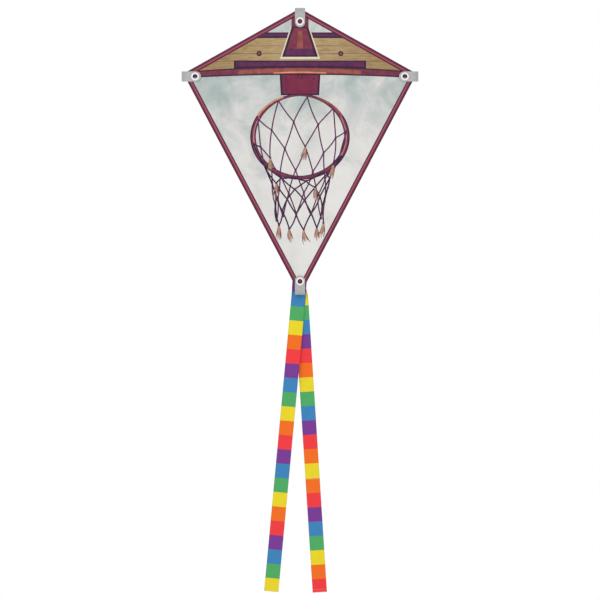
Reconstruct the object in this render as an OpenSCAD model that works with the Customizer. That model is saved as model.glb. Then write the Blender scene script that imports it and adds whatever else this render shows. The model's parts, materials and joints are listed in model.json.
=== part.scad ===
// Diamond kite with a folding cross spar and a two-legged ribbon tail.
// X runs across the kite, Z runs up the spine, and the printed face looks along -Y.
// The origin is the centre of the tow eye's hole, where the spine and the cross spar meet.

/* [Sail] */
// Centre line to a wing corner
half_span = 286; // [270:1:300]
// Height of the nose above the cross spar
nose_z = 167; // [160:1:175]
// Height of the wing corners above the cross spar
corner_z = 7; // [2:1:10]
// Drop from the cross spar to the tip
tip_drop = 535; // [520:1:550]
// Width of the edge binding
hem_w = 12.5; // [10:0.5:14]
// Depth of the sail behind the tow eye's hole
sail_y = 6.4; // [6:0.1:7]

/* [Corner tabs] */
// Width of the tab webbing
tab_w = 25; // [22:1:28]
// Eyelet centre to the folded end of a tab
tab_reach = 33; // [31:1:35]
// Radius of an eyelet's hole
eyelet_hole_r = 6; // [5:0.5:6.5]
// Outer radius of an eyelet's flange
eyelet_r = 9.8; // [9:0.2:11]

/* [Spars] */
// Radius of the spar rods
rod_r = 2; // [1.8:0.1:2.1]
// Centre line to each fold hinge
hinge_x = 20; // [19:1:24]
// Radius of the tow eye's hole
tow_hole_r = 1.4; // [1:0.1:1.6]

/* [Tail] */
// Width of the tail ribbon
ribbon_w = 35; // [30:1:36]
// Rivet to the end of each leg
leg_length = 763; // [400:1:800]
// Lean of the left leg away from the spine, in degrees
left_lean = 5.3; // [0:0.1:10]
// Lean of the right leg away from the spine, in degrees
right_lean = 3.65; // [0:0.05:10]
// Rivet to the splice in the right leg
splice_at = 484; // [200:1:600]

/* [Hidden] */
$fn = 48;

// Gaps
split_gap = 0.15;   // each side of a line where the sail divides
fit_gap = 0.03;     // rod in a bore
run_gap = 0.05;     // pin that turns in a bore

// Sail and binding
sail_t = 0.6;
hem_t = 1.8;
sail_inset = 1;     // the sail's own edge, inside the binding
nose_cut = 163.5;   // the folded nose and tip end inside the tabs
tip_cut = -530.5;
upper_slope = (nose_z - corner_z) / half_span;
lower_slope = (corner_z + tip_drop) / half_span;
upper_stretch = sqrt(1 + upper_slope * upper_slope);
lower_stretch = sqrt(1 + lower_slope * lower_slope);

// Corner tabs: a front leaf, a back leaf and a round fold between them
leaf_t = 1;
leaf_front = sail_y - 3;
leaf_back = sail_y + 8.3;
fold_r = (leaf_back - leaf_front) / 2;
tab_tail = 14.2;    // eyelet centre to a tab's round end
tab_x = 257;        // eyelet centres
top_tab_z = 135;
bottom_tab_z = -502;
flange_t = 1.4;
barrel_r = eyelet_hole_r + 1;
washer_t = 0.8;

// Spars and their fitting
spar_y = sail_y + 4.2;
cap_r = rod_r + 0.8;
cap_reach = 28.5;   // eyelet centre to a cap's end
cap_end_t = 2.5;
cap_length = 17.5;
knuckle_r = 3.6;
knuckle_half = 4.9;
ear_low = 5.1;
ear_high = 8.5;
pin_r = 1.22;
pin_head_r = 2.2;
socket_r = 3.3;
socket_length = 28;
socket_floor = 8;   // hinge axis to the floor of the socket's bore
hub_half = 16;
lug_r = 3;
lug_w = 3;
sleeve_r = rod_r + 0.9;
sleeve_t = 0.6;

// Tail
loop_r = 2.5;
bar_r = 1.6;
loop_w = 9;
loop_y = leaf_back + loop_r;
loop_z = bottom_tab_z + 10;
clip_t = 1.6;
clip_w = 22;
clip_bottom = bottom_tab_z - 12;
boss_r = 4.5;       // the clip's boss holds both legs clear of the loop
boss_t = 1.7;
rivet_r = 2;
left_leg_y = loop_y + clip_t / 2 + boss_t + 0.1;   // front faces of the two legs
right_leg_y = left_leg_y + 1;
ribbon_t = 0.6;
ribbon_top = 5;
ribbon_taper = 6.5;
end_hem_h = 8;
end_hem_t = 0.5;

// Colours
binding_red = [0.49, 0.22, 0.30];
webbing_grey = [0.74, 0.74, 0.74];
ribbon_blue = [0.25, 0.53, 0.75];

// Height of the sail's upper and lower edge at x, inset square to the edge
function upper_z(x, inset) = nose_z - upper_slope * x - inset * upper_stretch;
function lower_z(x, inset) = -tip_drop + lower_slope * x + inset * lower_stretch;
// Where those two edges meet
function corner_x(inset) =
    half_span - inset * (upper_stretch + lower_stretch) / (upper_slope + lower_slope);

// ---- Shared shapes ----

// An outline in X and Z, as a slab from y0 to y1
module slab(y0, y1) {
    translate([0, y1, 0]) rotate([90, 0, 0]) linear_extrude(y1 - y0) children();
}

// The part of the sail plane outside the hinge line, right side
module wing_area(inset) {
    first = hinge_x + split_gap;
    last = corner_x(inset);
    polygon([
        [first, upper_z(first, inset)],
        [last, upper_z(last, inset)],
        [first, lower_z(first, inset)]
    ]);
}

// The part of the sail plane between the hinge lines
module center_area(inset) {
    edge = hinge_x - split_gap;
    intersection() {
        polygon([
            [0, upper_z(0, inset)],
            [edge, upper_z(edge, inset)],
            [edge, lower_z(edge, inset)],
            [0, lower_z(0, inset)],
            [-edge, lower_z(edge, inset)],
            [-edge, upper_z(edge, inset)]
        ]);
        translate([-edge, tip_cut]) square([2 * edge, nose_cut - tip_cut]);
    }
}

// A binding folded over the sail's edge: a slab with a slot for the sail
module binding() {
    difference() {
        slab(sail_y - hem_t / 2, sail_y + hem_t / 2) children(0);
        slab(sail_y - sail_t / 2, sail_y + sail_t / 2) children(1);
    }
}

// Both bindings of the right wing meet on the mitre from the outer to the inner corner
module wing_hem(upper) {
    inner = corner_x(hem_w);
    outer = corner_x(0);
    first = hinge_x + split_gap;
    binding() {
        if (upper)
            polygon([
                [first, upper_z(first, 0)],
                [outer, upper_z(outer, 0)],
                [inner, upper_z(inner, hem_w)],
                [first, upper_z(first, hem_w)]
            ]);
        else
            polygon([
                [first, lower_z(first, 0)],
                [first, lower_z(first, hem_w)],
                [inner, lower_z(inner, hem_w)],
                [outer, lower_z(outer, 0)]
            ]);
        wing_area(sail_inset);
    }
}

// The binding between the hinge lines, at the nose or at the tip
module center_hem(low, high) {
    binding() {
        intersection() {
            difference() {
                center_area(0);
                center_area(hem_w);
            }
            translate([-hinge_x, low]) square([2 * hinge_x, high - low]);
        }
        center_area(sail_inset);
    }
}

// A round-ended side view of a folded tab, grown inwards by wall
module tab_section(wall) {
    open_end = wall > 0 ? 1 : 0;
    translate([-tab_tail - open_end, leaf_front + wall])
        square([tab_tail + open_end + tab_reach - fold_r, 2 * (fold_r - wall)]);
    translate([tab_reach - fold_r, leaf_front + fold_r]) circle(r = fold_r - wall);
}

// A folded tab with its eyelet hole at the origin and its fold towards +X
module tab() {
    round_x = tab_w / 2 - tab_tail;
    difference() {
        intersection() {
            translate([0, 0, -tab_w / 2]) linear_extrude(tab_w) difference() {
                tab_section(0);
                tab_section(leaf_t);
            }
            slab(leaf_front - 1, leaf_back + 1) {
                translate([round_x, 0]) circle(r = tab_w / 2);
                translate([round_x, -tab_w / 2]) square([tab_reach + 1 - round_x, tab_w]);
            }
        }
        translate([0, leaf_front + leaf_t + 1, 0]) rotate([90, 0, 0])
            cylinder(r = barrel_r + fit_gap, h = leaf_t + 2);
    }
}

// A flange with round edges on the tab's front, and a barrel through it
module eyelet() {
    edge_r = flange_t / 2;
    translate([0, leaf_front, 0]) rotate([90, 0, 0]) rotate_extrude() {
        translate([eyelet_hole_r, -leaf_t - washer_t])
            square([barrel_r - eyelet_hole_r, leaf_t + washer_t]);
        translate([eyelet_hole_r, 0]) square([eyelet_r - eyelet_hole_r, edge_r]);
        translate([eyelet_hole_r + edge_r, 0])
            square([eyelet_r - eyelet_hole_r - flange_t, flange_t]);
        for (r = [eyelet_hole_r + edge_r, eyelet_r - edge_r])
            translate([r, edge_r]) circle(r = edge_r);
    }
}

module eyelet_washer() {
    slab(leaf_front + leaf_t, leaf_front + leaf_t + washer_t) difference() {
        circle(r = eyelet_r - 0.4);
        circle(r = barrel_r + fit_gap);
    }
}

// A rod along Z
module rod(z0, z1) {
    translate([0, 0, z0]) cylinder(r = rod_r, h = z1 - z0);
}

// A push-on cap along Z with its closed end on top, at the origin
module cap() {
    translate([0, 0, -cap_length]) difference() {
        cylinder(r = cap_r, h = cap_length);
        translate([0, 0, -1]) cylinder(r = rod_r + fit_gap, h = cap_length - cap_end_t + 1);
    }
}

// Turns +X to +Z, or to -Z, about Y
module to_top() { translate([0, 0, top_tab_z]) rotate([0, -90, 0]) children(); }
module to_bottom() { translate([0, 0, bottom_tab_z]) rotate([0, 90, 0]) children(); }
// Puts a shape made for the right wing on side 1 or -1
module on_side(side) { if (side > 0) children(); else mirror([1, 0, 0]) children(); }

// ---- Spine ----

module spine_rod() {
    color("dimgray") translate([0, spar_y, 0])
        rod(bottom_tab_z - cap_reach + cap_end_t, top_tab_z + cap_reach - cap_end_t);
}

module spine_cap_top() {
    color("black") translate([0, spar_y, top_tab_z + cap_reach]) cap();
}

module spine_cap_bottom() {
    color("black") translate([0, spar_y, bottom_tab_z - cap_reach]) rotate([180, 0, 0]) cap();
}

// A sewn fabric channel that holds the spine rod against the back of the sail
module spine_sleeve(z0, z1) {
    color("lightgray") translate([0, spar_y, z0]) linear_extrude(z1 - z0) {
        sewn_y = sail_y + sail_t / 2 + 0.05 - spar_y;
        difference() {
            union() {
                circle(r = sleeve_r);
                translate([-sleeve_r, sewn_y]) square([2 * sleeve_r, -sewn_y]);
                translate([-7, sewn_y]) square([14, sleeve_t]);
            }
            circle(r = sleeve_r - sleeve_t);
            translate([-sleeve_r + sleeve_t, sewn_y - 1])
                square([2 * (sleeve_r - sleeve_t), 1 - sewn_y]);
        }
    }
}

// ---- Centre fitting ----

module center_fitting() {
    color("saddlebrown") difference() {
        union() {
            translate([0, spar_y, -hub_half]) cylinder(r = knuckle_r, h = 2 * hub_half);
            translate([knuckle_r + 0.6 - hinge_x, spar_y - knuckle_r, -ear_high])
                cube([2 * (hinge_x - knuckle_r - 0.6), 2 * knuckle_r, 2 * ear_high]);
            for (low = [ear_low, -ear_high], side = [-1, 1]) {
                translate([side * hinge_x, spar_y, low])
                    cylinder(r = knuckle_r, h = ear_high - ear_low);
                translate([side * hinge_x / 2 - hinge_x / 2, spar_y - knuckle_r, low])
                    cube([hinge_x, 2 * knuckle_r, ear_high - ear_low]);
            }
            translate([-lug_w / 2, 0, 0]) rotate([0, 90, 0]) cylinder(r = lug_r, h = lug_w);
            translate([-lug_w / 2, 0, -lug_r]) cube([lug_w, spar_y - rod_r - 0.5, 2 * lug_r]);
        }
        translate([0, spar_y, -hub_half - 1])
            cylinder(r = rod_r + fit_gap, h = 2 * hub_half + 2);
        for (side = [-1, 1]) translate([side * hinge_x, spar_y, -ear_high - 1])
            cylinder(r = pin_r + fit_gap, h = 2 * ear_high + 2);
        translate([-lug_w / 2 - 1, 0, 0]) rotate([0, 90, 0])
            cylinder(r = tow_hole_r, h = lug_w + 2);
    }
}

module hinge_pin(side) {
    color("silver") translate([side * hinge_x, spar_y, 0]) {
        translate([0, 0, -ear_high]) cylinder(r = pin_r, h = 2 * ear_high);
        for (z = [-ear_high - 1, ear_high]) translate([0, 0, z])
            cylinder(r = pin_head_r, h = 1);
    }
}

// ---- Sail between the hinge lines ----

module sail_center() {
    color("lightgray") difference() {
        slab(sail_y - sail_t / 2, sail_y + sail_t / 2) center_area(sail_inset + split_gap);
        translate([-lug_w / 2 - 0.5, sail_y - 2, -lug_r - 0.5])
            cube([lug_w + 1, 4, 2 * lug_r + 1]);
    }
}

module nose_hem() { color(binding_red) center_hem(0, nose_cut); }
module tip_hem() { color(binding_red) center_hem(tip_cut, 0); }

// ---- Tail hanger ----

// Webbing loop around the clip's bar, sewn down the bottom tab's back leaf
module tail_loop() {
    color(webbing_grey) difference() {
        union() {
            translate([-loop_w / 2, loop_y, loop_z]) rotate([0, 90, 0])
                cylinder(r = loop_r, h = loop_w);
            translate([-loop_w / 2, leaf_back, loop_z - 14]) cube([loop_w, leaf_t, 14]);
        }
        translate([-loop_w, loop_y, loop_z]) rotate([0, 90, 0])
            cylinder(r = bar_r + run_gap, h = 2 * loop_w);
    }
}

// Moulded clip: a round bar in the loop, two arms and a plate with a boss and a rivet hole
module tail_clip() {
    arm_w = 3;
    plate_top = loop_z - 5;
    color("dimgray") difference() {
        union() {
            translate([-clip_w / 2, loop_y, loop_z]) rotate([0, 90, 0])
                cylinder(r = bar_r, h = clip_w);
            for (x = [-clip_w / 2, clip_w / 2 - arm_w])
                translate([x, loop_y - clip_t / 2, plate_top]) cube([arm_w, clip_t, 5]);
            slab(loop_y - clip_t / 2, loop_y + clip_t / 2)
                translate([-clip_w / 2, clip_bottom]) square([clip_w, plate_top - clip_bottom]);
            translate([0, 0, bottom_tab_z])
                slab(loop_y, loop_y + clip_t / 2 + boss_t) circle(r = boss_r);
        }
        translate([0, 0, bottom_tab_z]) slab(loop_y - clip_t, loop_y + clip_t + boss_t)
            circle(r = rivet_r + fit_gap);
    }
}

module tail_rivet() {
    front = loop_y - clip_t / 2;
    back = right_leg_y + ribbon_t + 0.4;
    color("whitesmoke") translate([0, 0, bottom_tab_z]) {
        slab(front, back) circle(r = rivet_r);
        slab(front - 0.5, front) circle(r = 3.2);
        slab(back, back + 1.2) circle(r = 5);
    }
}

// ---- Tail legs: made hanging straight down from the rivet, then leaned ----

module leaned(lean) {
    translate([0, 0, bottom_tab_z]) rotate([0, lean, 0]) children();
}

module tail_ribbon(lean, front) {
    leaned(lean) slab(front, front + ribbon_t) difference() {
        polygon([
            [-ribbon_w / 2, 0],
            [-ribbon_w / 2 + ribbon_taper, ribbon_top],
            [ribbon_w / 2 - ribbon_taper, ribbon_top],
            [ribbon_w / 2, 0],
            [ribbon_w / 2, -leg_length],
            [-ribbon_w / 2, -leg_length]
        ]);
        circle(r = rivet_r + run_gap);
    }
}

// A strip across a leg, with its lower edge at z
module ribbon_strip(lean, front, z, height) {
    leaned(lean) slab(front, front + end_hem_t)
        translate([-ribbon_w / 2, z]) square([ribbon_w, height]);
}

module tail_left_ribbon() { color(ribbon_blue) tail_ribbon(left_lean, left_leg_y); }
module tail_right_ribbon() { color("gold") tail_ribbon(-right_lean, right_leg_y); }

module tail_left_end_hem() {
    color("yellow") ribbon_strip(left_lean, left_leg_y - end_hem_t, -leg_length, end_hem_h);
}

module tail_right_end_hem() {
    color("red") ribbon_strip(-right_lean, right_leg_y + ribbon_t, -leg_length, end_hem_h);
}

module tail_right_splice() {
    color("orange") ribbon_strip(-right_lean, right_leg_y + ribbon_t, -splice_at - 3, 6);
}

// ---- Wings: made for the right side ----

module wing_spar() {
    color("dimgray") translate([hinge_x + socket_floor, spar_y, 0]) rotate([0, 90, 0])
        rod(0, tab_x + cap_reach - cap_end_t - hinge_x - socket_floor);
}

module wing_socket() {
    color("saddlebrown") translate([hinge_x, spar_y, 0]) difference() {
        union() {
            translate([0, 0, -knuckle_half]) cylinder(r = knuckle_r, h = 2 * knuckle_half);
            rotate([0, 90, 0]) cylinder(r = socket_r, h = socket_length);
        }
        translate([0, 0, -knuckle_half - 1])
            cylinder(r = pin_r + run_gap, h = 2 * knuckle_half + 2);
        translate([socket_floor, 0, 0]) rotate([0, 90, 0])
            cylinder(r = rod_r + fit_gap, h = socket_length);
    }
}

module wing_spar_cap() {
    color("black") translate([tab_x + cap_reach, spar_y, 0]) rotate([0, 90, 0]) cap();
}

module wing_sail() {
    color("lightgray")
        slab(sail_y - sail_t / 2, sail_y + sail_t / 2) wing_area(sail_inset + split_gap);
}

module wing_tab() { color(webbing_grey) translate([tab_x, 0, 0]) tab(); }
module wing_eyelet() { color("white") translate([tab_x, 0, 0]) eyelet(); }
module wing_eyelet_washer() { color("white") translate([tab_x, 0, 0]) eyelet_washer(); }

// ---- Nodes ----

spine_rod();
spine_cap_top();
spine_cap_bottom();
center_fitting();
hinge_pin(-1);  // hinge_pin_left
hinge_pin(1);  // hinge_pin_right
sail_center();
spine_sleeve(30, 112);  // spine_sleeve_upper
spine_sleeve(-462, -30);  // spine_sleeve_lower
nose_hem();
tip_hem();
color(webbing_grey) to_top() tab();  // top_tab
color(webbing_grey) to_bottom() tab();  // bottom_tab
color("white") to_top() eyelet();  // top_eyelet
color("white") to_bottom() eyelet();  // bottom_eyelet
color("white") to_top() eyelet_washer();  // top_eyelet_washer
color("white") to_bottom() eyelet_washer();  // bottom_eyelet_washer
tail_loop();
tail_clip();
tail_rivet();
tail_left_ribbon();
tail_left_end_hem();
tail_right_ribbon();
tail_right_end_hem();
tail_right_splice();
for (wing = [["left_", -1], ["right_", 1]]) on_side(wing[1]) {
    wing_spar();
    wing_socket();
    wing_spar_cap();
    wing_sail();
    color(binding_red) wing_hem(true);
    color(binding_red) wing_hem(false);
    wing_tab();
    wing_eyelet();
    wing_eyelet_washer();
}
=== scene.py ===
"""Diamond kite: the looks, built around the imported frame.

Lengths in the drawing of the print, the cloth and the webbing are in millimetres, in the frame's own
axes: x across the kite, z up the spine, y backwards. mm() turns them into metres.
"""
import contextlib
import json
import math
import random

import bpy
import bmesh
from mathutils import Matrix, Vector, noise
from mathutils.geometry import delaunay_2d_cdt


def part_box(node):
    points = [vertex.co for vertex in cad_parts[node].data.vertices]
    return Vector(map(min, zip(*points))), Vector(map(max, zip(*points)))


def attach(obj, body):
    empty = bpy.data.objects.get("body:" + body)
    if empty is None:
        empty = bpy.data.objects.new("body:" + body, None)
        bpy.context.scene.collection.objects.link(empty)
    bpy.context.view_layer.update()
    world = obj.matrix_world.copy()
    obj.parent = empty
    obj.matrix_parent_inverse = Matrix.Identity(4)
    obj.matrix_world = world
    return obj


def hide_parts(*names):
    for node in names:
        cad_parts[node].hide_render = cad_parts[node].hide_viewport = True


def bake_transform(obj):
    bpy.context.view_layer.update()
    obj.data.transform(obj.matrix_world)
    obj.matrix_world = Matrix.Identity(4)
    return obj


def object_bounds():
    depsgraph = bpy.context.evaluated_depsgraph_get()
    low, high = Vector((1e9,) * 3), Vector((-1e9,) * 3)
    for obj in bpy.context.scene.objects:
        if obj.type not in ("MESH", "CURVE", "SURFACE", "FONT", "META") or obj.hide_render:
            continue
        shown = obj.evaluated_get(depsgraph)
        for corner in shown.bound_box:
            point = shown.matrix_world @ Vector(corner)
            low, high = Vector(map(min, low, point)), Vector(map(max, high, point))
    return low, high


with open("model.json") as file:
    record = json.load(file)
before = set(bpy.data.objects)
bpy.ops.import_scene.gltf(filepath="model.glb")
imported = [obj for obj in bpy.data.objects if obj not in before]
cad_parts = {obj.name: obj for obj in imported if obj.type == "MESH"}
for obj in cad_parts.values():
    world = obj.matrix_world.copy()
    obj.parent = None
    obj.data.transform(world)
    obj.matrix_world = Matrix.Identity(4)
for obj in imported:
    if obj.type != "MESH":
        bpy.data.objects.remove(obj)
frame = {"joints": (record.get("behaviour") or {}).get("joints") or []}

cad_low, cad_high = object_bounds()

MM = 0.001


def mm(*values):
    return tuple(v * MM for v in values)


# ---- Sizes read from the frame, in millimetres ----

def node_box(node):
    low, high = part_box(node)
    return [v / MM for v in low], [v / MM for v in high]


def joint(name):
    return next(j for j in frame["joints"] if j["name"] == name)


UPPER_LOW, UPPER_HIGH = node_box("right_upper_hem")
LOWER_LOW, LOWER_HIGH = node_box("right_lower_hem")
SAIL_LOW, SAIL_HIGH = node_box("sail_center")
TAB_LOW, TAB_HIGH = node_box("right_tab")
EYELET_LOW, EYELET_HIGH = node_box("right_eyelet")
TOP_TAB_HIGH = node_box("top_tab")[1]
BOTTOM_TAB_LOW = node_box("bottom_tab")[0]

SAIL_Y = (SAIL_LOW[1] + SAIL_HIGH[1]) / 2
HALF_SPAN = UPPER_HIGH[0]
CORNER_Z = LOWER_HIGH[2]
UPPER_SLOPE = (UPPER_HIGH[2] - CORNER_Z) / (HALF_SPAN - UPPER_LOW[0])
LOWER_SLOPE = (CORNER_Z - LOWER_LOW[2]) / (HALF_SPAN - LOWER_LOW[0])
UPPER_STRETCH = math.hypot(1, UPPER_SLOPE)
LOWER_STRETCH = math.hypot(1, LOWER_SLOPE)
NOSE_Z = CORNER_Z + UPPER_SLOPE * HALF_SPAN
TIP_Z = CORNER_Z - LOWER_SLOPE * HALF_SPAN
NOSE_CUT, TIP_CUT = node_box("nose_hem")[1][2], node_box("tip_hem")[0][2]
HINGE_X = joint("right_wing_fold")["pos_m"][0] / MM
PIVOT_Z = joint("tail_left_splay")["pos_m"][2] / MM

HEM_W = 12.5
TAB_W = TAB_HIGH[2] - TAB_LOW[2]
LEAF_FRONT, LEAF_BACK = TAB_LOW[1], TAB_HIGH[1]
EYELET_X = (EYELET_LOW[0] + EYELET_HIGH[0]) / 2
TAB_REACH = TAB_HIGH[0] - EYELET_X
TAB_TAIL = EYELET_X - TAB_LOW[0]
TOP_EYELET_Z = TOP_TAB_HIGH[2] - TAB_REACH
BOTTOM_EYELET_Z = BOTTOM_TAB_LOW[2] + TAB_REACH


def upper_z(x, inset=0.0):
    """Height of the sail's upper edge at x, moved inwards square to the edge."""
    return NOSE_Z - UPPER_SLOPE * abs(x) - inset * UPPER_STRETCH


def lower_z(x, inset=0.0):
    return TIP_Z + LOWER_SLOPE * abs(x) + inset * LOWER_STRETCH


def corner_x(inset=0.0):
    """Where the upper and lower edges meet, moved inwards by inset."""
    return HALF_SPAN - inset * (UPPER_STRETCH + LOWER_STRETCH) / (UPPER_SLOPE + LOWER_SLOPE)


# ---- Colours ----

def linear(r, g, b):
    """Screen colour, 0 to 255, as linear light."""
    def one(c):
        c = c / 255
        return c / 12.92 if c <= 0.04045 else ((c + 0.055) / 1.055) ** 2.4
    return (one(r), one(g), one(b), 1.0)


def blend_colour(a, b, share):
    return tuple(x + (y - x) * share for x, y in zip(a, b))


BLACK, WHITE = (0, 0, 0, 1), (1, 1, 1, 1)


# ---- Material building blocks ----

class Nodes:
    """A material's node tree with short calls for the nodes used here."""

    def __init__(self, name, roughness=0.5, **inputs):
        self.material = bpy.data.materials.new(name)
        self.material.use_nodes = True
        self.tree = self.material.node_tree
        self.shader = self.tree.nodes["Principled BSDF"]
        self.shader.inputs["Roughness"].default_value = roughness
        for key, value in inputs.items():
            self.shader.inputs[key.replace("_", " ")].default_value = value

    def add(self, kind, inputs, **settings):
        """A new node. inputs gives its sockets, by name or number, a value or a link."""
        node = self.tree.nodes.new(kind)
        for key, value in settings.items():
            setattr(node, key, value)
        for key, value in inputs.items():
            if isinstance(value, bpy.types.NodeSocket):
                self.tree.links.new(value, node.inputs[key])
            else:
                node.inputs[key].default_value = value
        return node

    def mapped(self, vector, scale=(1, 1, 1), turn_deg=0):
        """vector turned about its third axis and scaled."""
        turn = (0, 0, math.radians(turn_deg))
        node = self.add("ShaderNodeMapping", {"Vector": vector, "Scale": scale, "Rotation": turn})
        return node.outputs["Vector"]

    def coordinates(self, source, scale=(1, 1, 1)):
        return self.mapped(self.add("ShaderNodeTexCoord", {}).outputs[source], scale)

    def split(self, vector):
        """The vector's first two parts."""
        parts = self.add("ShaderNodeSeparateXYZ", {0: vector}).outputs
        return parts[0], parts[1]

    def noise(self, vector, scale, detail=3.0, roughness=0.55, distortion=0.0):
        return self.add("ShaderNodeTexNoise", {
            "Vector": vector, "Scale": scale, "Detail": detail, "Roughness": roughness,
            "Distortion": distortion}).outputs["Fac"]

    def waves(self, vector, direction, per_metre):
        """Bands across direction, so many to the metre."""
        return self.add("ShaderNodeTexWave", {"Vector": vector, "Scale": per_metre * math.pi / 10},
                        bands_direction=direction).outputs["Fac"]

    def math(self, operation, a, b=0.5):
        return self.add("ShaderNodeMath", {0: a, 1: b}, operation=operation).outputs["Value"]

    def ramp(self, factor, stops):
        """Colours between stops of (place, colour). A colour of three numbers is a screen colour."""
        node = self.add("ShaderNodeValToRGB", {"Fac": factor})
        elements = node.color_ramp.elements
        while len(elements) < len(stops):
            elements.new(0.5)
        for element, (place, colour) in zip(elements, stops):
            element.position = place
            element.color = linear(*colour) if len(colour) == 3 else colour
        return node.outputs["Color"]

    def mix(self, factor, a, b, kind="MIX"):
        return self.add("ShaderNodeMix", {0: factor, 6: a, 7: b},
                        data_type="RGBA", blend_type=kind).outputs[2]

    def shade(self, colour, factor, low, high):
        """colour times a grey that runs from low to high with factor."""
        grey = self.ramp(factor, [(0, (low, low, low, 1)), (1, (high, high, high, 1))])
        return self.mix(1.0, colour, grey, "MULTIPLY")

    def drive(self, key, socket):
        self.tree.links.new(socket, self.shader.inputs[key])

    def finished(self, colour, rough=None, bump=None):
        """The material. rough is (factor, low, high), bump is (height, depth in mm, strength)."""
        self.drive("Base Color", colour)
        if rough:
            node = self.add("ShaderNodeMapRange", dict(zip(("Value", "To Min", "To Max"), rough)))
            self.drive("Roughness", node.outputs["Result"])
        if bump:
            height, depth_mm, strength = bump
            node = self.add("ShaderNodeBump", {
                "Height": height, "Distance": depth_mm * MM, "Strength": strength})
            self.drive("Normal", node.outputs["Normal"])
        return self.material


THREADS_PER_METRE = 1600


def plain_weave(nodes):
    """A UV map in metres and the height of the threads that cross over it."""
    uv = nodes.coordinates("UV")
    warp, weft = (nodes.waves(uv, direction, THREADS_PER_METRE) for direction in "XY")
    return uv, nodes.math("MAXIMUM", warp, weft)


def ribbed(nodes, uv, rib_direction, ribs_per_metre):
    """Ribs one way, and the height of the ribs with finer threads across them."""
    ribs = nodes.waves(uv, rib_direction, ribs_per_metre)
    threads = nodes.waves(uv, "Y" if rib_direction == "X" else "X", 1500)
    return ribs, nodes.math("ADD", ribs, nodes.math("MULTIPLY", threads, 0.4))


# ---- Cloth materials ----

FADE_BACK = 0.34     # how much paler the print is on the back of the cloth
WHITE_CLOTH = linear(232, 232, 230)


def printed(name, back, paint):
    """Printed nylon: paint(nodes, uv) returns the print's colour, which the back shows paler."""
    nodes = Nodes(name, roughness=0.62, Sheen_Weight=0.12, Specular_IOR_Level=0.3)
    uv, weave = plain_weave(nodes)
    ink = paint(nodes, uv)
    if back:
        ink = nodes.mix(FADE_BACK, ink, WHITE_CLOTH)
    soiled = nodes.shade(ink, nodes.noise(uv, 45, 4), 0.95, 1.03)
    return nodes.finished(nodes.shade(soiled, weave, 0.96, 1.02),
                          rough=(nodes.noise(uv, 90, 3), 0.52, 0.72), bump=(weave, 0.05, 0.5))


SKY_FOOT = 0.55      # metres below the spar where the sky is palest


def paint_sky(nodes, uv):
    """Thin bright cloud over a pale sky that is greener and darker towards the top left."""
    x, z = nodes.split(uv)
    climb = nodes.math("MULTIPLY", nodes.math("ADD", z, SKY_FOOT), 1 / SKY_FOOT)
    height = nodes.math("MINIMUM", nodes.math("POWER", climb, 3.0), 0.72)
    slant = nodes.math("SUBTRACT", nodes.math("MULTIPLY", height, 0.78), nodes.math("MULTIPLY", x, 0.56))
    clouds = nodes.noise(uv, 12, 6, 0.62, 0.7)
    place = nodes.math("ADD", slant, nodes.math("MULTIPLY", nodes.math("SUBTRACT", clouds, 0.43), 1.7))
    return nodes.ramp(place, [
        (0.0, (231, 229, 226)), (0.35, (222, 220, 217)), (0.56, (205, 207, 205)),
        (0.74, (186, 195, 192)), (1.0, (168, 182, 180)),
    ])


def paint_wood(nodes, uv):
    """Level grain and faint knots, browner towards the wing corners."""
    grain = nodes.noise(nodes.mapped(uv, (1, 9, 1)), 26, 6, 0.65, 0.8)
    knots = nodes.noise(uv, 30, 3, 0.5, 1.5)
    wood = nodes.ramp(grain, [
        (0.30, (150, 122, 82)), (0.45, (178, 152, 108)),
        (0.58, (194, 170, 126)), (0.72, (160, 138, 92)),
    ])
    from_spine = nodes.math("ABSOLUTE", nodes.split(uv)[0])
    outwards = nodes.math("MULTIPLY", from_spine, 1 / (HALF_SPAN * MM))
    browner = nodes.mix(outwards, WHITE, linear(212, 196, 182))
    return nodes.mix(1.0, nodes.shade(wood, knots, 0.84, 1.1), browner, "MULTIPLY")


def paint_mottled(dark, light, scale):
    def paint(nodes, uv):
        return nodes.ramp(nodes.noise(uv, scale, 4, 0.6, 0.4), [(0.32, dark), (0.68, light)])
    return paint


MOTTLED_INKS = {
    # name: (its darker colour, its lighter colour, scale of the mottling)
    "cream": ((214, 200, 172), (236, 226, 204), 60),
    "ink": ((38, 12, 46), (62, 22, 62), 60),
    "plum": ((72, 26, 72), (104, 40, 84), 60),
    "maroon": ((104, 38, 62), (134, 56, 76), 60),
    "crimson": ((108, 28, 60), (132, 38, 70), 40),
    "rust": ((134, 66, 62), (168, 92, 76), 60),
    "glow": ((206, 128, 92), (232, 164, 122), 60),
    "rose": ((176, 100, 118), (206, 140, 150), 60),
    "hemp": ((146, 108, 92), (196, 160, 134), 160),
    "umber": ((96, 58, 60), (136, 92, 80), 160),
}
PRINT_PAINTS = {"sky": paint_sky, "wood": paint_wood}
for ink, (dark, light, scale) in MOTTLED_INKS.items():
    PRINT_PAINTS[ink] = paint_mottled(dark, light, scale)
PRINT_ORDER = list(PRINT_PAINTS)


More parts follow.
